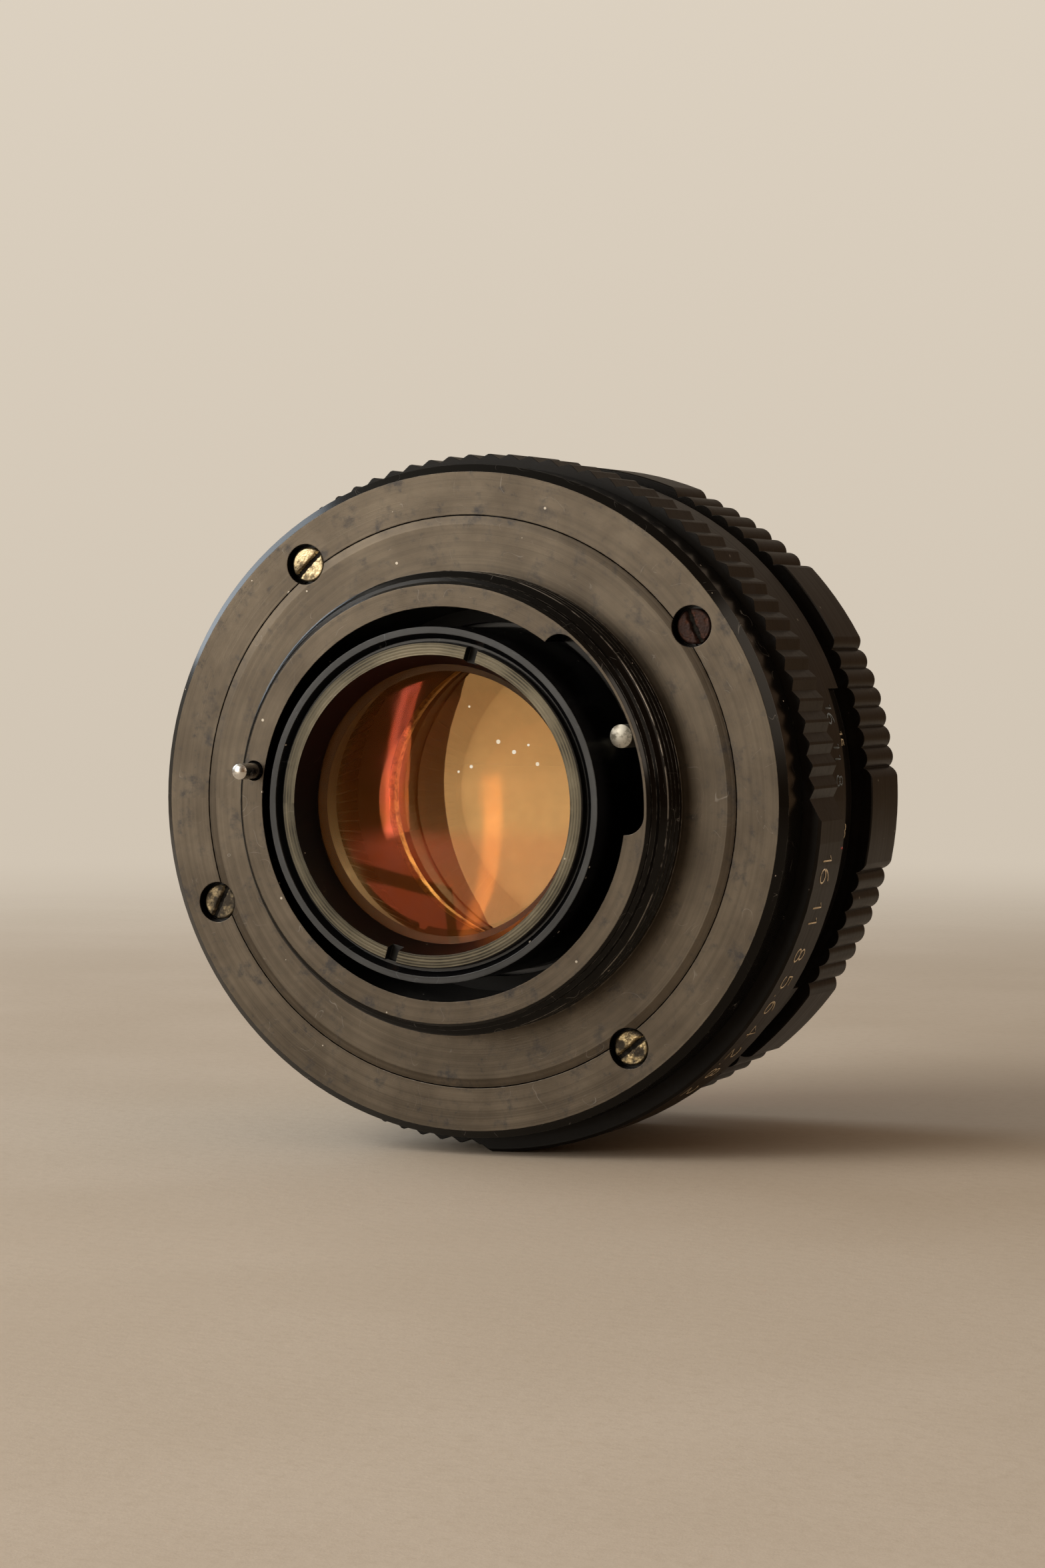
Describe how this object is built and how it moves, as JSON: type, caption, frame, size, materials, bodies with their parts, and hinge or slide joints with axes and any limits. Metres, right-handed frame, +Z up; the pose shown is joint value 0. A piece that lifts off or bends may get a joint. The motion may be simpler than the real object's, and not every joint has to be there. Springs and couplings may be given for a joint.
{
  "type": "prime camera lens",
  "caption": "Screw-mount prime lens for a film camera, with turning aperture and focus rings, a sprung stop-down pin, an iris of overlapping blades and coated glass.",
  "frame": {"origin": "centre of the flange face that seats on the camera, on the optical axis", "axes": "+Y along the optical axis towards the front glass, -Y towards the camera, +Z up as the lens lies on its side, +X to the right seen from the rear"},
  "size_m": [0.0642, 0.0508, 0.0643],
  "materials": {
    "black_anodised": "satin",
    "worn_anodised": "satin",
    "black_enamel": "gloss",
    "brass": "worn",
    "steel": "satin",
    "spring_steel": "satin",
    "aluminium": "machined",
    "blade_steel": "blackened",
    "coated_glass": "polished"
  },
  "bodies": {
    "barrel": {"mount_plate": "worn_anodised", "rear_cover_ring": "worn_anodised", "mount_screws": "brass", "main_barrel": "aluminium", "depth_scale_ring": "black_anodised", "depth_ring_set_screws": "steel", "guide_keys": "brass", "guide_key_screws": "steel", "helicoid_retaining_ring": "aluminium", "click_spring": "spring_steel", "lever_bracket": "brass", "lever_pivot": "steel", "bracket_screw": "steel", "stop_ring_screws": "steel", "spring_post": "steel", "return_spring": "spring_steel", "sensing_pin_spring": "spring_steel", "sensing_pin_plug": "brass"},
    "aperture_ring": {"aperture_ring": "black_anodised", "aperture_coupling_arm": "brass"},
    "click_ball": {"click_ball": "steel"},
    "stop_down_pin": {"stop_down_pin": "steel"},
    "lever": {"lever": "steel"},
    "stop_down_ring": {"stop_down_ring": "brass"},
    "sensing_pin": {"sensing_pin": "steel"},
    "focus_ring": {"focus_ring": "black_anodised", "helicoid_ring": "brass", "focus_ring_screws": "steel"},
    "lens_block": {"lens_barrel": "aluminium", "front_barrel": "black_anodised", "front_barrel_screws": "steel", "front_trim_ring": "black_enamel", "front_cell": "aluminium", "front_element": "coated_glass", "front_spacer": "black_enamel", "front_pair_positive": "coated_glass", "front_pair_negative": "coated_glass", "front_retaining_ring": "black_enamel", "rear_cell": "black_anodised", "rear_pair_negative": "coated_glass", "rear_pair_positive": "coated_glass", "rear_spacer": "black_enamel", "rear_element": "coated_glass", "rear_retaining_ring": "worn_anodised", "iris_base_plate": "black_enamel"},
    "iris_drive_ring": {"iris_drive_ring": "brass"},
    "iris_blade_1": {"iris_blade_1": "blade_steel"},
    "iris_blade_2": {"iris_blade_2": "blade_steel"},
    "iris_blade_3": {"iris_blade_3": "blade_steel"},
    "iris_blade_4": {"iris_blade_4": "blade_steel"},
    "iris_blade_5": {"iris_blade_5": "blade_steel"},
    "iris_blade_6": {"iris_blade_6": "blade_steel"}
  },
  "joints": [
    {"name": "focus_turn", "type": "hinge", "parent": "barrel", "child": "focus_ring", "pos_m": [0, 0.02, 0], "axis": [0, -1, 0], "range_deg": [0, 230]},
    {"name": "block_slide", "type": "slide", "parent": "barrel", "child": "lens_block", "axis": [0, 1, 0], "range_m": [0, 0.0064]},
    {"name": "aperture_turn", "type": "hinge", "parent": "barrel", "child": "aperture_ring", "pos_m": [0, 0.0073, 0], "axis": [0, -1, 0], "range_deg": [0, 44]},
    {"name": "click_ball_slide", "type": "slide", "parent": "barrel", "child": "click_ball", "axis": [-0.342, 0, 0.9397], "range_m": [0, 0.00025]},
    {"name": "stop_down_turn", "type": "hinge", "parent": "barrel", "child": "stop_down_ring", "pos_m": [0, 0.0075, 0], "axis": [0, -1, 0], "range_deg": [0, 3.64]},
    {"name": "stop_down_push", "type": "slide", "parent": "barrel", "child": "stop_down_pin", "axis": [0, 1, 0], "range_m": [0, 0.0022]},
    {"name": "lever_rock", "type": "hinge", "parent": "barrel", "child": "lever", "pos_m": [0.01489, 0.00394, 0.01197], "axis": [0.7794, 0, 0.6265], "range_deg": [0, 19.4]},
    {"name": "sensing_pin_push", "type": "slide", "parent": "barrel", "child": "sensing_pin", "axis": [0, 1, 0], "range_m": [0, 0.003], "deforming": ["sensing_pin_spring"]},
    {"name": "iris_ring_turn", "type": "hinge", "parent": "lens_block", "child": "iris_drive_ring", "pos_m": [0, 0.0115, 0], "axis": [0, -1, 0], "range_deg": [0, 3.65]},
    {"name": "iris_blade_1_turn", "type": "hinge", "parent": "lens_block", "child": "iris_blade_1", "pos_m": [0.01398, 0.0125, 0.00247], "axis": [0, -1, 0], "range_deg": [0, 35]},
    {"name": "iris_blade_2_turn", "type": "hinge", "parent": "lens_block", "child": "iris_blade_2", "pos_m": [0.00486, 0.0125, 0.01334], "axis": [0, -1, 0], "range_deg": [0, 35]},
    {"name": "iris_blade_3_turn", "type": "hinge", "parent": "lens_block", "child": "iris_blade_3", "pos_m": [-0.00913, 0.0125, 0.01088], "axis": [0, -1, 0], "range_deg": [0, 35]},
    {"name": "iris_blade_4_turn", "type": "hinge", "parent": "lens_block", "child": "iris_blade_4", "pos_m": [-0.01398, 0.0125, -0.00247], "axis": [0, -1, 0], "range_deg": [0, 35]},
    {"name": "iris_blade_5_turn", "type": "hinge", "parent": "lens_block", "child": "iris_blade_5", "pos_m": [-0.00486, 0.0125, -0.01334], "axis": [0, -1, 0], "range_deg": [0, 35]},
    {"name": "iris_blade_6_turn", "type": "hinge", "parent": "lens_block", "child": "iris_blade_6", "pos_m": [0.00913, 0.0125, -0.01088], "axis": [0, -1, 0], "range_deg": [0, 35]}
  ],
  "couplings": [
    {"joint": "block_slide", "follows": "focus_turn", "m_per_rad": 0.0015943},
    {"joint": "stop_down_push", "follows": "stop_down_turn", "m_per_rad": 0.034432},
    {"joint": "lever_rock", "follows": "stop_down_turn", "ratio": 5.3227},
    {"joint": "iris_ring_turn", "follows": "stop_down_turn", "ratio": 1},
    {"joint": "iris_blade_1_turn", "follows": "stop_down_turn", "ratio": 9.6028},
    {"joint": "iris_blade_2_turn", "follows": "stop_down_turn", "ratio": 9.6028},
    {"joint": "iris_blade_3_turn", "follows": "stop_down_turn", "ratio": 9.6028},
    {"joint": "iris_blade_4_turn", "follows": "stop_down_turn", "ratio": 9.6028},
    {"joint": "iris_blade_5_turn", "follows": "stop_down_turn", "ratio": 9.6028},
    {"joint": "iris_blade_6_turn", "follows": "stop_down_turn", "ratio": 9.6028}
  ]
}
